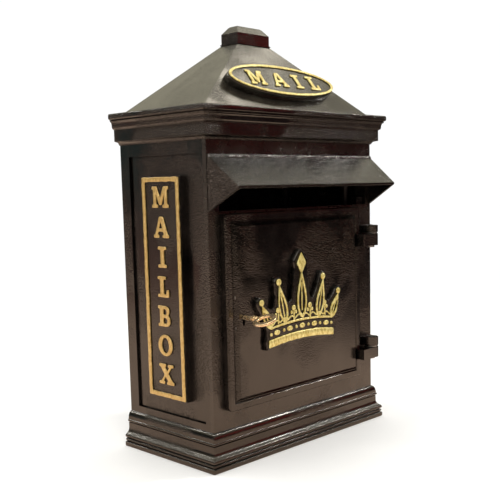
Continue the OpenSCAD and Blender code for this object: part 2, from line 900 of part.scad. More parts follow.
module oval_gilding() {
  relief = 1.4;
  cap = 19;
  gap = 11.5;
  k = cap / grid_h;
  total = word_end(mail_word, len(mail_word) - 1, k, gap);
  color(gilt) place() on_slope() translate([0, oval_up, oval_t]) union() {
    linear_extrude(relief) difference() {
      polygon(ellipse(oval_a - 0.6, oval_b - 0.6, 96));
      polygon(ellipse(oval_a - 4.2, oval_b - 3.6, 96));
    }
    for (i = [0 : len(mail_word) - 1])
      translate([word_end(mail_word, i, k, gap) - (mail_word[i][0] * k + total) / 2, -cap / 2])
        linear_extrude(relief) glyph(mail_word[i], cap);
  }
}

// --- lock ----------------------------------------------------------------

// Keeper on the back of the frame, with a pocket for the bolt open towards the door
module strike_plate() {
  clear = 0.6;
  y0 = -body_d + front_t;
  color(zinc) place() difference() {
    box(strike_x - 5.5, strike_x + 5, y0, y0 + strike_t, bolt_low - 10, bolt_low + bolt_h + 10);
    box(strike_x - 3, strike_x + 5 + cut, y0 - cut, -body_d + bolt_front + bolt_t + clear,
        bolt_low - clear, bolt_low + bolt_h + clear);
    strike_screw_holes();
  }
}

module lock_case() {
  color(zinc) place() difference() {
    box(case_left, case_right, case_front, case_back - case_wall, case_low, case_top);
    box(case_left + case_wall, case_right - case_wall, case_front + case_wall, case_back + 1,
        case_low + case_wall, case_top - case_wall);
    box(case_left - 1, case_left + case_wall + 1, -body_d + bolt_front - 0.3, case_back + 1,
        bolt_low - 0.3, bolt_low + bolt_h + 0.3);
    translate([key_x, case_front + case_wall + cut, key_z]) rotate([90, 0, 0])
      linear_extrude(case_wall + 2 * cut) keyhole(shank_r + 0.08, 3);
    lock_screw_holes();
  }
}

// Cover plate that closes the case; four long screws hold both to the door
module lock_cover() {
  color(zinc) place() difference() {
    box(case_left, case_right, case_back - case_wall, case_back, case_low, case_top);
    lock_screw_holes();
  }
}

module at_lock_screws() {
  for (x = [case_left + 4, case_right - 4], z = [case_low + 4, case_top - 4])
    translate([x, case_back, z]) rotate([90, 0, 0]) children();
}

module lock_screw_holes() {
  at_lock_screws() screw_hole(case_back - case_front + 3.7);
}

module lock_screws() {
  color(zinc) place() at_lock_screws() screw(case_back - case_front + 3.5);
}

module lock_bolt() {
  // The bit is inside the bolt's height between these angles of its turn
  enter = asin((bolt_low - key_z) / bit_r);
  leave = 180 - enter;
  spare = 0.9;
  notch_right = bit_r * cos(enter) + bit_t / 2 + spare;
  notch_left = bit_r * cos(leave) - bit_t / 2 - spare + bolt_travel * (leave - key_rest) / 360;
  notch_h = key_z + bit_r + 0.8 - bolt_low;
  color(brass) place() difference() {
    box(case_left + 0.5, key_x + 17.5, -body_d + bolt_front, -body_d + bolt_front + bolt_t,
        bolt_low, bolt_low + bolt_h);
    box(key_x + notch_left, key_x + notch_right, -body_d, -body_d + 20, bolt_low - cut, bolt_low + notch_h);
  }
}

module key() {
  tip = bolt_front + bolt_t;
  bow_t = 3.2;
  bow_hole = 6.5;
  root = door_out + bow_out;
  color(brass) place() translate([key_x, -body_d, key_z]) rotate([0, -key_rest, 0]) difference() {
    union() {
      translate([0, tip, 0]) rotate([90, 0, 0]) cylinder(r = shank_r, h = tip + root - bow_r + 2);
      box(0, bit_r, bolt_front - 0.8, tip, -bit_t / 2, bit_t / 2);
      translate([0, -root, -bow_t / 2]) cylinder(r = bow_r, h = bow_t);
      translate([0, -root + bow_r + 2.6, 0]) rotate([90, 0, 0]) cylinder(r = 3.3, h = 3);
    }
    translate([0, -root, -10]) cylinder(r = bow_hole, h = 20);
  }
}

base_plinth();
back_panel();
left_side_panel();
right_side_panel();
front_frame();
cornice();
roof();
finial();
finial_nut();
hood();
hood_screws();
oval_plaque();
oval_gilding();
left_plaque();
left_gilding();
right_plaque();
right_gilding();
plaque_screws();
tie_rods();
tie_nuts();
tie_washers();
corner_brackets();
bracket_screws();
hinge_pins();
hinge_washers();
strike_plate();
strike_screws();
door();
crown_backing();
crown_gilding();
crown_screws();
lock_case();
lock_cover();
lock_screws();
lock_bolt();
key();
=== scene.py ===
import json
import math

import bmesh
import bpy
from mathutils import Matrix, Vector, noise


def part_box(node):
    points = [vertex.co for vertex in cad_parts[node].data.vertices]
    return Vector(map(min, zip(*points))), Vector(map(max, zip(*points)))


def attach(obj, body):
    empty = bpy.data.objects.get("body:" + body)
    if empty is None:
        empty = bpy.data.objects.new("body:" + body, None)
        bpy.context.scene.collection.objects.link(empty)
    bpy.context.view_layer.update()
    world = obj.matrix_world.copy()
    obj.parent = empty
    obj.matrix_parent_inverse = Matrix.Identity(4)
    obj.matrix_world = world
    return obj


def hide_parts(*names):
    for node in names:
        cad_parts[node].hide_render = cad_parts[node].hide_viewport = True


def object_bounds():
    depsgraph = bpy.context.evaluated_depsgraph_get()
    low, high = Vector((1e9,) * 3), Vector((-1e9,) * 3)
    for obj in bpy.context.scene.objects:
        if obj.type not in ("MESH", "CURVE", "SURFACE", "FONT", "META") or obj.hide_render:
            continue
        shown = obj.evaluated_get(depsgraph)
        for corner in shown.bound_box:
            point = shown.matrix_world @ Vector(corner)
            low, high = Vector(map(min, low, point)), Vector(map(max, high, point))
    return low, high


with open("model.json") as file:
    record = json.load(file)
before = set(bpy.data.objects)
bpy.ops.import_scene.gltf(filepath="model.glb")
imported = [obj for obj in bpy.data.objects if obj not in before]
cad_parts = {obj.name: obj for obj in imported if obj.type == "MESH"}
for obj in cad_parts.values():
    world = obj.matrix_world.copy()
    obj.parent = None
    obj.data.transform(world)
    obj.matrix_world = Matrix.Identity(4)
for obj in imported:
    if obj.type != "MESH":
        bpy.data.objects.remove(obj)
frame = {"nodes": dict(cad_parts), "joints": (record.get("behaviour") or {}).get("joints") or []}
cad_low, cad_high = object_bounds()
nodes = frame["nodes"]
joints = {j["name"]: j for j in frame["joints"]}

MM = 0.001
X, Y, Z = Vector((1, 0, 0)), Vector((0, 1, 0)), Vector((0, 0, 1))

# what the reflections see of the room: direction, reach and colour of each coloured patch
ROOM_PATCHES = [
    ((0.735, -0.27, 0.62), 0.25, (0.012, 0.010, 0.008)),
    ((0.655, -0.03, 0.755), 0.125, (5.6, 5.25, 4.5)),
    ((0.70, -0.69, 0.20), 0.19, (0.95, 0.06, 0.050)),
    ((0.74, -0.66, 0.07), 0.15, (0.080, 0.044, 0.038)),
    ((-0.62, 0.78, -0.14), 0.24, (0.50, 0.28, 0.22)),
    ((-0.59, 0.80, 0.07), 0.17, (0.12, 0.18, 0.17)),
    ((-0.84, 0.54, -0.01), 0.20, (2.7, 2.2, 1.87)),
]
WHITE = 1.02  # what the camera and matt surfaces see all round
# brightness of the room in the mirror directions, from straight down (0) to straight up (1)
ROOM_HEIGHTS = [
    (0.40, (0.022, 0.014, 0.012)), (0.50, (0.014, 0.008, 0.007)), (0.58, (0.022, 0.018, 0.018)),
    (0.66, (0.060, 0.055, 0.046)), (0.75, (0.70, 0.66, 0.49)), (0.83, (0.92, 0.87, 0.68)),
    (1.0, (1.0, 0.95, 0.76)),
]
# name, place, size, power and colour of each lamp; all aim at the middle of the frame
LAMPS = [
    ("key_light", (-0.9, -1.5, 1.7), 0.9, 14, (1.0, 0.97, 0.90)),
    ("top_light", (-0.3, 0.3, 2.4), 1.0, 10, (1.0, 0.98, 0.92)),
    ("front_spark", (1.5, -0.8, 1.15), 0.20, 11, (1.0, 0.97, 0.93)),
    ("left_spark", (-0.6, 1.6, 1.15), 0.20, 4, (1.0, 0.98, 0.95)),
]
CAMERA_PLACE = (-0.640373, -0.710273, 0.100172)
CAMERA_TURN = (45.942, 7.289, -1.196)  # yaw, pitch down and roll in degrees
FLOOR_RADIUS = 1.15


# --- camera, floor and light ---------------------------------------------

def make_camera():
    """Seen from the left front, a little above the middle of the box."""
    yaw, pitch, roll = (math.radians(turn) for turn in CAMERA_TURN)
    forward = Vector((math.sin(yaw) * math.cos(pitch), math.cos(yaw) * math.cos(pitch), -math.sin(pitch)))
    right = Vector((math.cos(yaw), -math.sin(yaw), 0))
    up = right.cross(forward)
    right, up = right * math.cos(roll) + up * math.sin(roll), up * math.cos(roll) - right * math.sin(roll)
    data = bpy.data.cameras.new("camera")
    data.sensor_width, data.lens = 36, 59.24
    data.shift_x, data.shift_y = -0.04, 0.08
    data.clip_start, data.clip_end = 0.01, 50
    camera = bpy.data.objects.new("camera", data)
    bpy.context.scene.collection.objects.link(camera)
    camera.matrix_world = Matrix((
        (right.x, up.x, -forward.x, CAMERA_PLACE[0]),
        (right.y, up.y, -forward.y, CAMERA_PLACE[1]),
        (right.z, up.z, -forward.z, CAMERA_PLACE[2]),
        (0, 0, 0, 1)))
    bpy.context.scene.camera = camera


def make_area(name, place, size, energy, colour):
    data = bpy.data.lights.new(name, "AREA")
    data.shape, data.size, data.energy, data.color = "DISK", size, energy, colour
    lamp = bpy.data.objects.new(name, data)
    bpy.context.scene.collection.objects.link(lamp)
    lamp.location = place
    lamp.rotation_euler = (-Vector(place)).to_track_quat("-Z", "Y").to_euler()


# --- node graphs ---------------------------------------------------------

class Graph:
    """A short way to write a material's nodes. A socket is an output or a constant."""

    def __init__(self, tree):
        self.tree = tree
        tree.nodes.clear()
        self.place = None

    def feed(self, socket, value):
        if isinstance(value, bpy.types.NodeSocket):
            self.tree.links.new(value, socket)
        elif value is not None:
            if hasattr(socket.default_value, "__len__") and not isinstance(value, str):
                value = list(value) + [1] * (len(socket.default_value) - len(value))
            socket.default_value = value

    def node(self, kind, inputs=(), **settings):
        made = self.tree.nodes.new("ShaderNode" + kind)
        for key, value in settings.items():
            setattr(made, key, value)
        for key, value in dict(inputs).items():
            self.feed(made.inputs[key], value)
        return made

    def coords(self, stretch=(1, 1, 1), shift=(0, 0, 0)):
        if self.place is None:
            self.place = self.node("TexCoord").outputs["Object"]
        return self.node("Mapping", {"Vector": self.place, "Scale": stretch, "Location": shift}).outputs[0]

    def noise(self, scale, detail=2.0, rough=0.5, twist=0.0, stretch=(1, 1, 1), shift=(0, 0, 0)):
        return self.node("TexNoise", {
            "Vector": self.coords(stretch, shift), "Scale": scale, "Detail": detail,
            "Roughness": rough, "Distortion": twist}).outputs["Fac"]

    def cells(self, scale, kind="SMOOTH_F1", shift=(0, 0, 0)):
        return self.node("TexVoronoi", {"Vector": self.coords(shift=shift), "Scale": scale},
                         feature=kind).outputs["Distance"]

    def level(self, value, low, high, to_low=0.0, to_high=1.0):
        return self.node("MapRange", {
            "Value": value, "From Min": low, "From Max": high, "To Min": to_low, "To Max": to_high},
            interpolation_type="SMOOTHSTEP").outputs[0]

    def math(self, kind, a, b=0.0):
        made = self.node("Math", operation=kind)
        self.feed(made.inputs[0], a)
        self.feed(made.inputs[1], b)
        return made.outputs[0]

    def add(self, *terms):
        total = terms[0]
        for term in terms[1:]:
            total = self.math("ADD", total, term)
        return total

    def times(self, a, b):
        return self.math("MULTIPLY", a, b)

    def mix(self, share, a, b):
        made = self.node("Mix", data_type="RGBA")
        self.feed(made.inputs[0], share)
        self.feed(made.inputs[6], a)
        self.feed(made.inputs[7], b)
        return made.outputs[2]

    def bump(self, height):
        """Height is in millimetres."""
        return self.node("Bump", {"Height": height, "Distance": MM, "Strength": 1.0}).outputs[0]

    def surface(self, **values):
        shader = self.node("BsdfPrincipled")
        for key, value in values.items():
            self.feed(shader.inputs[key.replace("_", " ")], value)
        out = self.node("OutputMaterial")
        self.tree.links.new(shader.outputs[0], out.inputs["Surface"])
        return shader


def new_material(name):
    made = bpy.data.materials.new(name)
    made.use_nodes = True
    return made, Graph(made.node_tree)


# --- finishes ------------------------------------------------------------

def paint_height(g, peel, pebble, wave, patch):
    """Thick gloss paint on a sand casting: orange peel, sand pebbles in patches, slow waves and runs."""
    orange = g.times(g.math("SUBTRACT", g.noise(700, 2.0, 0.6), 0.5), peel)
    grains = g.level(g.cells(800), 0.05, 0.70, pebble, 0.0)
    coarse = g.level(g.noise(780, 2.0, 0.6, shift=(3.1, 0.4, 1.7)), 0.42, 0.70, 0.0, pebble)
    sand = g.times(g.add(grains, coarse), g.level(patch, 0.0, 1.0, 0.12, 1.0))
    waves = g.times(g.noise(24, 1.5, 0.5, 0.4), wave)
    runs = g.times(g.noise(1.0, 2.0, 0.5, 0.2, stretch=(210, 210, 13)), 0.055)
    return g.add(orange, sand, waves, runs)


def black_paint(name, peel=0.08, pebble=0.14, wave=0.26, cover=(0.40, 0.62), rough=(0.11, 0.20),
                light=(0.0070, 0.0050, 0.0042), dark=(0.0020, 0.0015, 0.0014), level=0.66, shade_reach_mm=4.5):
    """Gloss black: peel, pebble and wave are heights in mm, cover says where the sand shows, and the last
    argument is how far, in mm, the painted shade reaches out of an inner corner."""
    made, g = new_material(name)
    patch = g.level(g.noise(13, 2.0, 0.5, 0.6, shift=(0.7, 2.2, 0.31)), cover[0], cover[1])
    relief_normal = g.bump(paint_height(g, peel, pebble, wave, patch))
    worn = g.level(g.noise(48, 4.0, 0.6, 0.5), 0.40, 0.72)
    dust = g.level(g.noise(1300, 2.0, 0.6), 0.72, 0.80)
    flecks = g.level(g.cells(130, "F1", shift=(0.3, 0.9, 0.2)), 0.050, 0.030)
    colour = g.mix(worn, dark, light)
    colour = g.mix(g.times(g.math("MAXIMUM", dust, flecks), g.level(patch, 0.0, 1.0, 0.08, 0.50)),
                   colour, (0.20, 0.17, 0.14))
    roughness = g.level(g.noise(35, 3.0, 0.55, 0.3, shift=(5, 1, 2)), 0.35, 0.70, rough[0], rough[1])
    # painted shade: the inner corners are darkened in colour, specular tint and coat, by how enclosed each
    # point is
    open_sky = g.node("AmbientOcclusion", {"Distance": shade_reach_mm * MM}, samples=6, only_local=True).outputs["AO"]
    corner_shade = g.level(open_sky, 0.42, 0.86)
    colour = g.mix(corner_shade, (0.0015, 0.0012, 0.0010), colour)
    shine = g.mix(corner_shade, (0.08, 0.06, 0.05), (1.0, 0.93, 0.86))
    g.surface(Base_Color=colour, Roughness=roughness, Normal=relief_normal,
              Coat_Weight=g.times(corner_shade, 0.22), Coat_Roughness=0.09, Coat_Normal=relief_normal,
              Specular_IOR_Level=level, Specular_Tint=shine)
    return made


def gilt_paint(name, bright, deep, height, ragged, under=(0.006, 0.005, 0.005)):
    """Gold brushed over raised work: it ends unevenly down the sides, and black shows through thin spots."""
    made, g = new_material(name)
    out = g.node("SeparateXYZ", {"Vector": g.coords()}).outputs["Z"]
    edge = g.times(g.math("SUBTRACT", g.noise(420, 2.0, 0.6, 0.4), 0.5), ragged * MM)
    covered = g.level(g.math("ADD", out, edge), height[0] * MM, height[1] * MM)
    thin = g.level(g.noise(900, 3.0, 0.6, shift=(1, 7, 3)), 0.70, 0.80, 0.0, 0.55)
    covered = g.math("SUBTRACT", covered, g.times(thin, covered))
    strokes = g.level(g.noise(1.0, 3.0, 0.6, 0.6, stretch=(620, 240, 240)), 0.36, 0.62)
    gold = g.mix(strokes, deep, bright)
    gold = g.mix(g.level(g.noise(70, 2.0), 0.35, 0.75, 0.0, 0.35), gold, deep)
    # painted glints: small spots of lighter gold mixed into the colour
    painted_glints = g.level(g.noise(380, 2.0, 0.6, shift=(4, 2, 6)), 0.60, 0.72, 0.0, 0.7)
    gold = g.mix(painted_glints, gold, [min(1.0, c * 1.25 + 0.05) for c in bright])
    colour = g.mix(covered, under, gold)
    rough = g.level(covered, 0.0, 1.0, 0.18, 0.36)
    lumps = g.add(g.times(g.noise(480, 3.0, 0.6), 0.16), g.times(g.noise(170, 1.0), 0.20))
    g.surface(Base_Color=colour, Roughness=rough, Metallic=g.times(covered, 0.45), Normal=g.bump(lumps),
              Coat_Weight=0.35, Coat_Roughness=0.16)
    return made


def worn_brass(name):
    made, g = new_material(name)
    tone = g.level(g.noise(160, 3.0, 0.6, 0.4), 0.35, 0.7)
    colour = g.mix(tone, (0.86, 0.60, 0.31), (0.97, 0.77, 0.54))
    stain = g.level(g.noise(420, 3.0, 0.65, shift=(2, 1, 4)), 0.64, 0.82, 0.0, 0.45)
    colour = g.mix(stain, colour, (0.26, 0.13, 0.06))
    rough = g.level(g.noise(240, 3.0, 0.6, shift=(1, 3, 3)), 0.3, 0.75, 0.16, 0.42)
    scratches = g.noise(1.0, 2.0, stretch=(300, 2600, 300))
    marks = g.add(g.times(g.noise(900, 2.0), 0.03), g.times(scratches, 0.02))
    g.surface(Base_Color=colour, Metallic=0.9, Roughness=rough, Normal=g.bump(marks))
    return made


def zinc_plate(name, colour=(0.50, 0.50, 0.51)):
    made, g = new_material(name)
    spangle = g.node("TexVoronoi", {"Vector": g.coords(), "Scale": 240}).outputs["Color"]
    grey = g.node("SeparateColor", {"Color": spangle}).outputs[0]
    dull = [c * 0.72 for c in colour]
    shade = g.mix(g.level(grey, 0.0, 1.0, 0.1, 0.7), colour, dull)
    rough = g.level(g.noise(320, 3.0, 0.6), 0.3, 0.7, 0.24, 0.46)
    turned = g.times(g.noise(1.0, 2.0, stretch=(160, 160, 2400)), 0.012)
    g.surface(Base_Color=shade, Metallic=1.0, Roughness=rough, Normal=g.bump(turned))
    return made


def pale_floor():
    """Pale to the eye; the reflections see it brown and ending to the right of the box."""
    made, g = new_material("pale_floor")
    tone = g.level(g.noise(9, 3.0, 0.5), 0.3, 0.7)
    pale = g.mix(tone, (0.90, 0.895, 0.88), (0.93, 0.925, 0.91))
    place = g.node("SeparateXYZ", {"Vector": g.coords()}).outputs
    along = g.add(g.times(place["X"], 0.943), g.times(place["Y"], 0.334))
    brown = g.mix(g.level(along, 0.22, 0.46), (0.90, 0.66, 0.50), (0.035, 0.022, 0.020))
    g.surface(Base_Color=g.mix(g.node("LightPath").outputs["Is Glossy Ray"], pale, brown), Roughness=0.6,
              Specular_IOR_Level=0.2, Normal=g.bump(g.times(g.noise(300, 2.0), 0.05)))
    return made


def make_floor():
    bm = bmesh.new()
    bmesh.ops.create_circle(bm, cap_ends=True, segments=128, radius=FLOOR_RADIUS)
    mesh = bpy.data.meshes.new("floor")
    bm.to_mesh(mesh)
    bm.free()
    floor = bpy.data.objects.new("floor", mesh)
    bpy.context.scene.collection.objects.link(floor)
    floor.location = (0, 0, cad_low.z)
    mesh.materials.append(pale_floor())


def toward(g, facing, centre, reach):
    """1 in a direction, falling smoothly to 0 at the given distance round it."""
    apart = g.node("VectorMath", {0: facing, 1: Vector(centre).normalized()}, operation="DISTANCE")
    return g.level(apart.outputs["Value"], reach, reach * 0.45)


def make_world():
    """White to the camera and to matt surfaces; a dim room with a pale ceiling in the reflections."""
    world = bpy.data.worlds.new("studio")
    bpy.context.scene.world = world
    world.use_nodes = True
    world.cycles.sampling_method = "NONE"
    g = Graph(world.node_tree)
    facing = g.node("TexCoord").outputs["Generated"]
    height = g.node("SeparateXYZ", {"Vector": facing}).outputs["Z"]
    ramp = g.node("ValToRGB", {"Fac": g.node("MapRange", {
        "Value": height, "From Min": -1.0, "From Max": 1.0}).outputs[0]})
    bar = ramp.color_ramp
    while len(bar.elements) < len(ROOM_HEIGHTS):
        bar.elements.new(0.5)
    for element, (at, colour) in zip(bar.elements, ROOM_HEIGHTS):
        element.position, element.color = at, (*colour, 1)
    room = ramp.outputs["Color"]
    for centre, reach, colour in ROOM_PATCHES:
        room = g.mix(toward(g, facing, centre, reach), room, colour)
    way = g.node("LightPath")
    plain = g.math("MAXIMUM", way.outputs["Is Camera Ray"], way.outputs["Is Diffuse Ray"])
    sky = g.mix(plain, room, (WHITE, WHITE, WHITE))
    back = g.node("Background", {"Color": sky, "Strength": 1.0})
    out = g.node("OutputWorld")
    g.tree.links.new(back.outputs[0], out.inputs["Surface"])


# --- mesh building -------------------------------------------------------

def flat_frame(origin, right, up):
    """A drawing plane in the row frame: x along right, y along up, z towards the viewer."""
    out = right.cross(up)
    return Matrix((
        (right.x, up.x, out.x, origin[0]), (right.y, up.y, out.y, origin[1]),
        (right.z, up.z, out.z, origin[2]), (0, 0, 0, 1)))


def add_piece(name, bm, matrix, body, material, replaced=()):
    bmesh.ops.recalc_face_normals(bm, faces=bm.faces)
    mesh = bpy.data.meshes.new(name)
    bm.to_mesh(mesh)
    bm.free()
    mesh.shade_smooth()
    piece = bpy.data.objects.new(name, mesh)
    bpy.context.scene.collection.objects.link(piece)
    piece.matrix_world = matrix
    mesh.materials.append(material)
    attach(piece, body)
    if replaced:
        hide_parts(*replaced)
    return piece


def resample(loop, step):
    points = []
    for a, b in zip(loop, loop[1:] + loop[:1]):
        a, b = Vector(a), Vector(b)
        count = max(1, round((b - a).length / step))
        points += [a.lerp(b, i / count) for i in range(count)]
    return points


def relaxed(points, passes):
    for _ in range(passes):
        n = len(points)
        points = [points[i] * 0.5 + (points[i - 1] + points[(i + 1) % n]) * 0.25 for i in range(n)]
    return points


def signed_area(points):
    n = len(points)
    return sum(points[i].x * points[(i + 1) % n].y - points[(i + 1) % n].x * points[i].y
               for i in range(n)) / 2


def outward(points):
    """The direction away from the solid at each point of a loop that has the solid on its left."""
    n = len(points)
    result = []
    for i in range(n):
        along = points[(i + 1) % n] - points[i - 1]
        result.append(Vector((along.y, -along.x)).normalized() if along.length > 1e-9 else Vector((0, 0)))
    return result


def relief(bm, loops, height, edge, base=0.0, step=0.8, passes=2, wobble=0.0, seed=0.0, draft=0.15,
           crown=0.0, grow=0.0):
    """A raised shape on a flat ground, in millimetres: loops are its outline and then its holes."""
    rings = []
    for index, loop in enumerate(loops):
        points = relaxed(resample([tuple(p) for p in loop], step), passes)
        if (signed_area(points) > 0) != (index == 0):
            points.reverse()
        away = outward(points)
        if wobble or grow:
            points = [p + n * (grow + wobble * noise.noise(Vector((p.x * 0.16, p.y * 0.16, seed))))
                      for p, n in zip(points, away)]
        levels = [(draft, base), (0.0, base + height - edge)]
        levels += [(-edge * (1 - math.cos(a)), base + height - edge + edge * math.sin(a))
                   for a in (math.radians(t) for t in (30, 60, 90))]
        levels.append((-edge - 0.22, base + height + crown))
        made = [[bm.verts.new((p.x + n.x * push, p.y + n.y * push, z)) for p, n in zip(points, away)]
                for push, z in levels]
        for low, high in zip(made, made[1:]):
            for i in range(len(low)):
                j = (i + 1) % len(low)
                bm.faces.new((low[i], low[j], high[j], high[i]))
        rings.append(made)
    for level in (0, -1):
        edges = []
        for made in rings:
            ring = made[level]
            for i in range(len(ring)):
                edges.append(bm.edges.get((ring[i], ring[(i + 1) % len(ring)])))
        bmesh.ops.triangle_fill(bm, use_beauty=True, use_dissolve=False, edges=edges)


def dome(bm, x, y, rx, ry, base, rise, sides=20, rows=5):
    """A raised pearl or jewel: a flattened half ball with a short upright foot."""
    rings = []
    for row in range(rows):
        a = math.radians(90 * row / rows)
        level = base + rise * (0.25 + 0.75 * math.sin(a)) if row else base
        turns = [2 * math.pi * i / sides for i in range(sides)]
        rings.append([bm.verts.new((x + rx * math.cos(a) * math.cos(t), y + ry * math.cos(a) * math.sin(t),
                                    level)) for t in turns])
    rings.append([bm.verts.new((x, y, base + rise))])
    for low, high in zip(rings, rings[1:]):
        for i in range(sides):
            j = (i + 1) % sides
            if len(high) == 1:
                bm.faces.new((low[i], low[j], high[0]))
            else:
                bm.faces.new((low[i], low[j], high[j], high[i]))
    bm.faces.new(list(reversed(rings[0])))


def scaled(bm):
    bmesh.ops.scale(bm, vec=(MM, MM, MM), verts=bm.verts)
    return bm


def ellipse(rx, ry, count, cx=0.0, cy=0.0):
    return [(cx + rx * math.cos(2 * math.pi * i / count), cy + ry * math.sin(2 * math.pi * i / count))
            for i in range(count)]


def arc(cx, cy, rx, ry, start, end, count):
    turns = [math.radians(start + (end - start) * i / count) for i in range(count + 1)]
    return [(cx + rx * math.cos(a), cy + ry * math.sin(a)) for a in turns]


def rounded_box(x0, y0, x1, y1, r):
    return (arc(x1 - r, y0 + r, r, r, -90, 0, 4) + arc(x1 - r, y1 - r, r, r, 0, 90, 4)
            + arc(x0 + r, y1 - r, r, r, 90, 180, 4) + arc(x0 + r, y0 + r, r, r, 180, 270, 4))


# --- carried-over castings -----------------------------------------------

def soften(name, width, segments=3, angle=32):
    """Rounds a CAD node's edges as paint and sand do, with modifiers only."""
    piece = nodes[name]
    weld = piece.modifiers.new("weld", "WELD")
    weld.merge_threshold = 0.00002
    bevel = piece.modifiers.new("round", "BEVEL")
    bevel.width, bevel.segments = width * MM, segments
    bevel.limit_method, bevel.angle_limit = "ANGLE", math.radians(angle)
    bevel.miter_outer = "MITER_ARC"
    shade = piece.modifiers.new("shade", "WEIGHTED_NORMAL")
    shade.weight, shade.keep_sharp = 60, False


def finish_node(name, material):
    piece = nodes[name]
    if not piece.material_slots:
        piece.data.materials.append(None)
    for holder in piece.material_slots:
        holder.link = "OBJECT"
        holder.material = material


# --- lettering -----------------------------------------------------------

SLAB_M = (24, [[(0, 0), (8.5, 0), (8.5, 3), (6, 3), (6, 13), (10.6, 2.5), (13.4, 2.5), (18, 13), (18, 3),
                (15.5, 3), (15.5, 0), (24, 0), (24, 3), (22, 3), (22, 17), (24, 17), (24, 20), (17, 20),
                (12, 8.6), (7, 20), (0, 20), (0, 17), (2, 17), (2, 3), (0, 3)]])
SLAB_A = (22, [[(0, 0), (7.8, 0), (7.8, 3), (5.6, 3), (6.7, 6), (14, 6), (15.1, 3), (12.9, 3), (12.9, 0),
                (22, 0), (22, 3), (20.3, 3), (13.8, 20), (8.6, 20), (2, 3), (0, 3)],
               [(7.8, 9), (12.9, 9), (10.4, 15.6)]])
SLAB_I = (12, [[(0, 0), (12, 0), (12, 3), (8.5, 3), (8.5, 17), (12, 17), (12, 20), (0, 20), (0, 17),
                (3.5, 17), (3.5, 3), (0, 3)]])
SLAB_L = (16, [[(0, 0), (16, 0), (16, 7.5), (13.2, 7.5), (12, 3), (8.5, 3), (8.5, 17), (12, 17), (12, 20),
                (0, 20), (0, 17), (3.5, 17), (3.5, 3), (0, 3)]])
SLAB_B = (18, [[(0, 0)] + arc(11.6, 5.6, 6, 5.6, -90, 56, 8) + arc(11, 15.1, 5.4, 4.9, -50, 90, 8)
               + [(0, 20), (0, 17), (2.5, 17), (2.5, 3), (0, 3)],
               [(7.5, 3)] + arc(10.6, 5.8, 2.8, 2.8, -90, 90, 6) + [(7.5, 8.6)],
               [(7.5, 11.6)] + arc(10.2, 14.3, 2.7, 2.7, -90, 90, 6) + [(7.5, 17)]])
SLAB_O = (21, [ellipse(10.5, 10.4, 32, 10.5, 10), ellipse(5.4, 7.6, 28, 10.5, 10)])
SLAB_X = (22, [[(0, 0), (8, 0), (8, 3), (6.2, 3), (9.9, 7.9), (13.4, 3), (11.6, 3), (11.6, 0), (22, 0),
                (22, 3), (20, 3), (13.6, 10.8), (18.6, 17), (21.5, 17), (21.5, 20), (13.5, 20), (13.5, 17),
                (15.4, 17), (12, 12.6), (8.8, 17), (10.6, 17), (10.6, 20), (0.5, 20), (0.5, 17), (2.4, 17),
                (8.4, 9.6), (3, 3), (0, 3)]])
GRID = 20


def letter(bm, glyph, cap, cx, foot, height, edge, seed):
    k = cap / GRID
    loops = [[(cx + (x - glyph[0] / 2) * k, foot + y * k) for x, y in loop] for loop in glyph[1]]
    relief(bm, loops, height, edge, step=0.7, passes=3, wobble=0.22, seed=seed, draft=0.2, crown=0.06)


def side_gilding(name, node, plaque, right, ochre):
    """Border and word on a side plaque, drawn from the middle of the plaque's foot."""
    low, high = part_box(plaque)
    face = low.x if right.y < 0 else high.x
    width, tall = (high.y - low.y) / MM, (high.z - low.z) / MM
    inset, border, cap, pitch = 1.2, 4.5, 21, 29.6
    bm = bmesh.new()
    relief(bm, [rounded_box(-width / 2 + inset, inset, width / 2 - inset, tall - inset, 1.2),
                rounded_box(-width / 2 + inset + border, inset + border, width / 2 - inset - border,
                            tall - inset - border, 1.0)],
           1.6, 0.6, step=1.1, passes=1, wobble=0.45, seed=4.0, draft=0.2, crown=0.08)
    top = tall - border - inset - 4.4
    for i, glyph in enumerate((SLAB_M, SLAB_A, SLAB_I, SLAB_L, SLAB_B, SLAB_O, SLAB_X)):
        letter(bm, glyph, cap, 0, top - cap - i * pitch, 1.6, 0.62, seed=10.0 + i)
    origin = (face, (low.y + high.y) / 2, low.z)
    add_piece(name, scaled(bm), flat_frame(origin, right, Z), "case", ochre, (node,))


def oval_pieces(black, gold):
    """The oval plate on the roof's front slope, and its gilded rim and word."""
    roof_low, roof_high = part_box("roof")
    top_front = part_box("finial")[0].y + 1.0 * MM
    run, rise = top_front - roof_low.y, roof_high.z - roof_low.z
    slope = Vector((0, run, rise)).normalized()
    foot = Vector((0, roof_low.y, roof_low.z)) + slope * 34 * MM
    a, b, thick = 78, 21, 8
    bm = bmesh.new()
    relief(bm, [ellipse(a, b, 200)], thick, 1.3, step=1.4, passes=1, wobble=0.2, seed=2.0, draft=0.4)
    add_piece("oval_plate", scaled(bm), flat_frame(foot, X, slope), "case", black,
              ("oval_plaque",))
    bm = bmesh.new()
    relief(bm, [ellipse(a - 0.6, b - 0.6, 200), ellipse(a - 4.2, b - 3.6, 180)], 1.4, 0.6, step=1.1,
           passes=1, wobble=0.35, seed=7.0, draft=0.15, crown=0.05)
    cap, gap = 19, 11.5
    k = cap / GRID
    word = (SLAB_M, SLAB_A, SLAB_I, SLAB_L)
    at = -(sum(g[0] for g in word) * k + gap * (len(word) - 1)) / 2
    for i, glyph in enumerate(word):
        letter(bm, glyph, cap, at + glyph[0] * k / 2, -cap / 2, 1.4, 0.55, seed=20.0 + i)
        at += glyph[0] * k + gap
    out = X.cross(slope)
    add_piece("oval_gold", scaled(bm), flat_frame(foot + out * thick * MM, X, slope), "case",
              gold, ("oval_gilding",))


# --- emblem --------------------------------------------------------------

HALF, SAG = 50, 4
SPIRES = [(-46, 19, -59, 45, 5.5, 3.4), (-25, 22, -34, 63, 6.5, 3.6), (0, 24, 0, 74, 7.5, 0),
          (25, 22, 34, 63, 6.5, 3.6), (46, 19, 59, 45, 5.5, 3.4)]


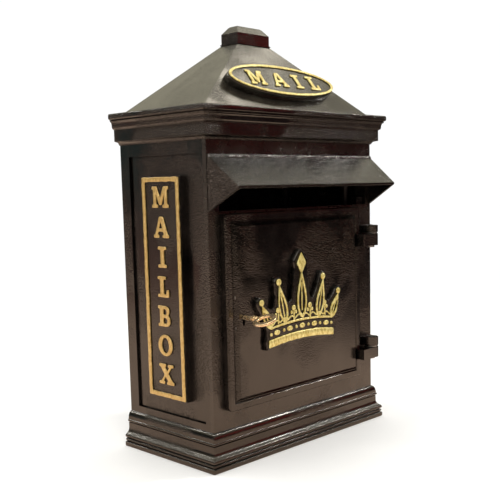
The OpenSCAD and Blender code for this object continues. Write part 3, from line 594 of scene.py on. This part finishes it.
def foot_at(x):
    return SAG * (1 - (x / HALF) ** 2)


def band(low, high, half, count=24):
    xs = [half * (2 * i / count - 1) for i in range(count + 1)]
    return [(x, foot_at(x) + low) for x in xs] + [(x, foot_at(x) + high) for x in reversed(xs)]


def leaf(x0, y0, x1, y1, w, count=16):
    length = math.hypot(x1 - x0, y1 - y0)
    ux, uy = (x1 - x0) / length, (y1 - y0) / length
    sides = []
    for i in range(count + 1):
        t = i / count
        s = w * (math.sin(math.pi * t ** 0.8) * (1 - 0.25 * t) + 0.12 * (1 - t))
        sides.append((x0 + ux * length * t, y0 + uy * length * t, s))
    return ([(x + uy * s, y - ux * s) for x, y, s in sides]
            + [(x - uy * s, y + ux * s) for x, y, s in reversed(sides[1:-1])])


def strip(points, width):
    """An open line given width."""
    points = [Vector(p) for p in points]
    left, right = [], []
    for i, p in enumerate(points):
        along = (points[min(i + 1, len(points) - 1)] - points[max(i - 1, 0)]).normalized()
        side = Vector((-along.y, along.x)) * width / 2
        left.append(tuple(p + side))
        right.append(tuple(p - side))
    return right + left[::-1]


def coronet(black, gold):
    """A generic open coronet: a band with jewels, five leaf spires with balls, and a lozenge."""
    low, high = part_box("crown_backing")
    plate = (high.y - low.y) / MM
    gild_low, gild_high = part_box("crown_gilding")
    centre = (low.x + high.x) / 2
    margin = 3
    origin = Vector((centre, high.y, low.z + margin * MM))
    bm = bmesh.new()
    half = [(0, SAG - 3), (30, foot_at(30) - 3), (HALF + 3, -3), (HALF + 3.4, 8), (HALF + 2, 18), (57, 29),
            (66, 44), (66, 50), (61, 53.5), (55, 51), (47, 41), (42, 39), (40.5, 52), (41, 66), (37.5, 71),
            (32, 71), (28, 66), (23, 52), (18, 44), (15, 46), (13, 60), (11, 74), (11.5, 86), (6, 93),
            (0, 98)]
    outline = half + [(-x, y) for x, y in half[-2:0:-1]]
    relief(bm, [outline], plate, 1.3, step=1.0, passes=4, wobble=0.8, seed=31.0, draft=0.4, grow=-0.9)
    # soft black modelling between the gilded lines
    for x in (-30, 30):
        relief(bm, [ellipse(9, 10, 40, x * 0.98, 36)], 0.9, 0.5, base=plate, passes=2, wobble=0.4, seed=x)
    relief(bm, [band(8.6, 17.8, HALF - 1)], 0.7, 0.4, base=plate, passes=1, wobble=0.2, seed=35.0)
    add_piece("coronet_back", scaled(bm), flat_frame(origin, X, Z), "door", black,
              ("crown_backing",))

    rise = (gild_high.y - gild_low.y) / MM
    bm = bmesh.new()
    relief(bm, [band(0, 8, HALF)], rise, 1.15, step=1.0, passes=2, wobble=0.35, seed=41.0, crown=0.12)
    relief(bm, [band(18.4, 20.7, HALF - 2)], rise, 0.7, step=0.9, passes=2, wobble=0.3, seed=42.0)
    for x in range(-38, 39, 19):
        dome(bm, x, foot_at(x) + 13.2, 4.3, 2.7, 0.3, rise)
    for i in range(6):
        x = (-47.5 + 19 * i) * 0.98
        dome(bm, x, foot_at(x) + 13.2, 1.8, 1.8, 0.3, rise)
    # scalloped edging above the upper rim
    for i in range(8):
        x0 = -44 + 11 * i
        bow = [(x0 + 11 * t / 8, foot_at(x0 + 11 * t / 8) + 22.0 + 3.4 * math.sin(math.pi * t / 8))
               for t in range(9)]
        relief(bm, [strip(bow, 1.5)], rise * 0.85, 0.5, step=0.8, passes=1, wobble=0.2, seed=50.0 + i)
    for i, (x0, y0, x1, y1, w, ball) in enumerate(SPIRES):
        inner = leaf(x0 + 0.1 * (x1 - x0), y0 + 4.5, x1 - 0.1 * (x1 - x0), y1 - 7, w - 2.1)
        relief(bm, [leaf(x0, y0, x1, y1, w), inner], rise, 0.7, step=0.9, passes=3, wobble=0.3,
               seed=60.0 + i)
        vein = [(x0 + (x1 - x0) * t, y0 + (y1 - y0) * t) for t in (0.18, 0.4, 0.6, 0.76)]
        relief(bm, [strip(vein, 1.5)], rise * 0.8, 0.55, step=0.8, passes=1, wobble=0.25, seed=70.0 + i)
        if ball:
            dome(bm, x1, y1 + ball * 0.6, ball, ball, 0, rise)
    for i, x in enumerate((-36, -12.5, 12.5, 36)):
        relief(bm, [strip([(x, 23), (x, 29), (x, 35)], 1.7)], rise * 0.9, 0.6, step=0.8, passes=1,
               wobble=0.2, seed=80.0 + i)
        dome(bm, x, 37, 3.0, 3.0, 0, rise)
        for side in (-1, 1):
            dome(bm, x + side * 3.3, 32.6, 1.7, 2.1, 0, rise * 0.85)
    lozenge = [(0, 70.8), (7, 82), (0, 93.4), (-7, 82)]
    relief(bm, [lozenge], rise, 0.9, step=0.9, passes=3, wobble=0.25, seed=90.0)
    add_piece("coronet_gold", scaled(bm), flat_frame(origin - Y * plate * MM, X, Z), "door",
              gold, ("crown_gilding",))


# --- key -----------------------------------------------------------------

def lathe(bm, profile, sides=40):
    """Turns (radius, height) points about z; both ends close on the axis."""
    turns = [2 * math.pi * i / sides for i in range(sides)]
    rings = [[bm.verts.new((radius * math.cos(t), radius * math.sin(t), level)) for t in turns]
             for radius, level in profile]
    for low, high in zip(rings, rings[1:]):
        for i in range(sides):
            j = (i + 1) % sides
            bm.faces.new((low[i], low[j], high[j], high[i]))
    bm.faces.new(list(reversed(rings[0])))
    bm.faces.new(rings[-1])


def make_key(brass):
    """Drawn with its axis along z, tip down, and its bow flat in the xz plane."""
    low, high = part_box("key")
    pivot = Vector(joints["key_turn"]["pos_m"])
    tip = -(high.y - pivot.y) / MM
    root = (pivot.y - low.y) / MM - 12  # middle of the bow
    shank = 2.25
    bm = bmesh.new()
    lathe(bm, [(0.4, tip), (shank - 0.5, tip), (shank, tip + 0.5), (shank, root - 17.2), (2.7, root - 16.8),
               (3.1, root - 16.2), (2.6, root - 15.4), (3.0, root - 14.7), (3.3, root - 14.0),
               (3.3, root - 13.0), (2.9, root - 12.4), (2.5, root - 12.0), (2.5, root - 10.2),
               (0.4, root - 9.8)])
    # the bow: a flattened ring
    ring, section, major, half_w, half_t, squareness = 64, 16, 9.25, 2.75, 1.6, 0.72
    loops = []
    for i in range(ring):
        t = 2 * math.pi * i / ring
        loop = []
        for j in range(section):
            s = 2 * math.pi * j / section
            c, d = math.cos(s), math.sin(s)
            reach = major + half_w * math.copysign(abs(c) ** squareness, c)
            thick = half_t * math.copysign(abs(d) ** squareness, d)
            loop.append(bm.verts.new((reach * math.cos(t), thick, root + reach * math.sin(t))))
        loops.append(loop)
    for i in range(ring):
        a, b = loops[i], loops[(i + 1) % ring]
        for j in range(section):
            k = (j + 1) % section
            bm.faces.new((a[j], a[k], b[k], b[j]))
    # the bit: a small flag with one ward cut
    flag = [(1.2, tip), (7.0, tip), (7.0, tip + 0.9), (5.2, tip + 0.9), (5.2, tip + 1.7), (7.0, tip + 1.7),
            (7.0, tip + 3.7), (1.2, tip + 3.7)]
    faces = [[bm.verts.new((x, y, z)) for x, z in flag] for y in (-1.2, 1.2)]
    bm.faces.new(faces[0])
    bm.faces.new(list(reversed(faces[1])))
    for i in range(len(flag)):
        j = (i + 1) % len(flag)
        bm.faces.new((faces[0][i], faces[0][j], faces[1][j], faces[1][i]))
    rest = Matrix.Rotation(math.radians(-20), 4, "Y")
    stand = Matrix.Rotation(math.radians(90), 4, "X")
    piece = add_piece("key_brass", scaled(bm), Matrix.Translation(pivot) @ rest @ stand, "key",
                      brass, ("key",))
    shade = piece.modifiers.new("shade", "WEIGHTED_NORMAL")
    shade.weight = 60


# --- the mailbox ---------------------------------------------------------

paint = black_paint("cast_black")
paint_sandy = black_paint("cast_black_sandy", peel=0.08, pebble=0.22, cover=(0.30, 0.52))
paint_frame = black_paint("frame_black", peel=0.11, rough=(0.24, 0.34), level=0.8)
paint_hood = black_paint("hood_black", peel=0.05, pebble=0.14, wave=0.10, cover=(0.25, 0.50),
                         rough=(0.04, 0.08), level=0.50)
paint_finial = black_paint("finial_black", peel=0.05, pebble=0.07, rough=(0.14, 0.20), level=0.7)
# painted light: the roof's black is mixed lighter and more olive than the other castings', for the pale
# ceiling light its upward slopes catch; the oval plate shares it
roof_paint_lightened = black_paint("roof_black", peel=0.07, pebble=0.09, cover=(0.36, 0.62), level=0.62,
                         light=(0.030, 0.027, 0.019), dark=(0.014, 0.012, 0.009), shade_reach_mm=2.5)
paint_plain = black_paint("emblem_black", peel=0.07, pebble=0.05, wave=0.25, rough=(0.22, 0.32),
                          light=(0.004, 0.003, 0.003), dark=(0.0015, 0.0012, 0.0012), level=0.6)
ochre = gilt_paint("ochre_gold", (0.64, 0.44, 0.155), (0.48, 0.29, 0.083), (0.35, 1.05), 0.9)
gold = gilt_paint("bright_gold", (0.82, 0.71, 0.29), (0.50, 0.37, 0.085), (0.25, 0.95), 0.8)
brass = worn_brass("worn_brass")
zinc = zinc_plate("zinc_plate")
# painted shade: the zinc parts that stand inside the box get a near-black colour, so that what stands in the
# letter space looks shaded through the slot
shaded_zinc = zinc_plate("shaded_zinc", (0.10, 0.10, 0.105))

# the paint on each casting and how much it rounds the edges, in mm
castings = {
    "base_plinth": (paint, 0.7), "back_panel": (paint, 1.0), "left_side_panel": (paint, 1.2),
    "right_side_panel": (paint, 1.2), "front_frame": (paint_frame, 1.2), "cornice": (paint_sandy, 0.6),
    "roof": (roof_paint_lightened, 0.6), "finial": (paint_finial, 1.0), "hood": (paint_hood, 0.9),
    "left_plaque": (paint, 1.1), "right_plaque": (paint, 1.1), "door": (paint, 1.4),
}
for node_name, (material, width) in castings.items():
    soften(node_name, width)
    finish_node(node_name, material)
hardware = {
    "hood_screws": shaded_zinc, "plaque_screws": shaded_zinc, "tie_rods": shaded_zinc, "tie_nuts": zinc,
    "tie_washers": zinc, "corner_brackets": shaded_zinc, "bracket_screws": shaded_zinc, "hinge_pins": zinc,
    "hinge_washers": zinc, "strike_plate": zinc, "strike_screws": zinc, "crown_screws": zinc,
    "lock_case": zinc, "lock_cover": zinc, "lock_screws": zinc, "finial_nut": zinc,
}
for node_name, material in hardware.items():
    soften(node_name, 0.25, 2)
    finish_node(node_name, material)
soften("lock_bolt", 0.4, 2)
finish_node("lock_bolt", brass)

side_gilding("left_gold", "left_gilding", "left_plaque", -Y, ochre)
side_gilding("right_gold", "right_gilding", "right_plaque", Y, ochre)
oval_pieces(roof_paint_lightened, gold)
coronet(paint_plain, gold)
make_key(brass)

make_camera()
make_world()
make_floor()
for lamp in LAMPS:
    make_area(*lamp)
bpy.context.scene.view_settings.view_transform = "Standard"
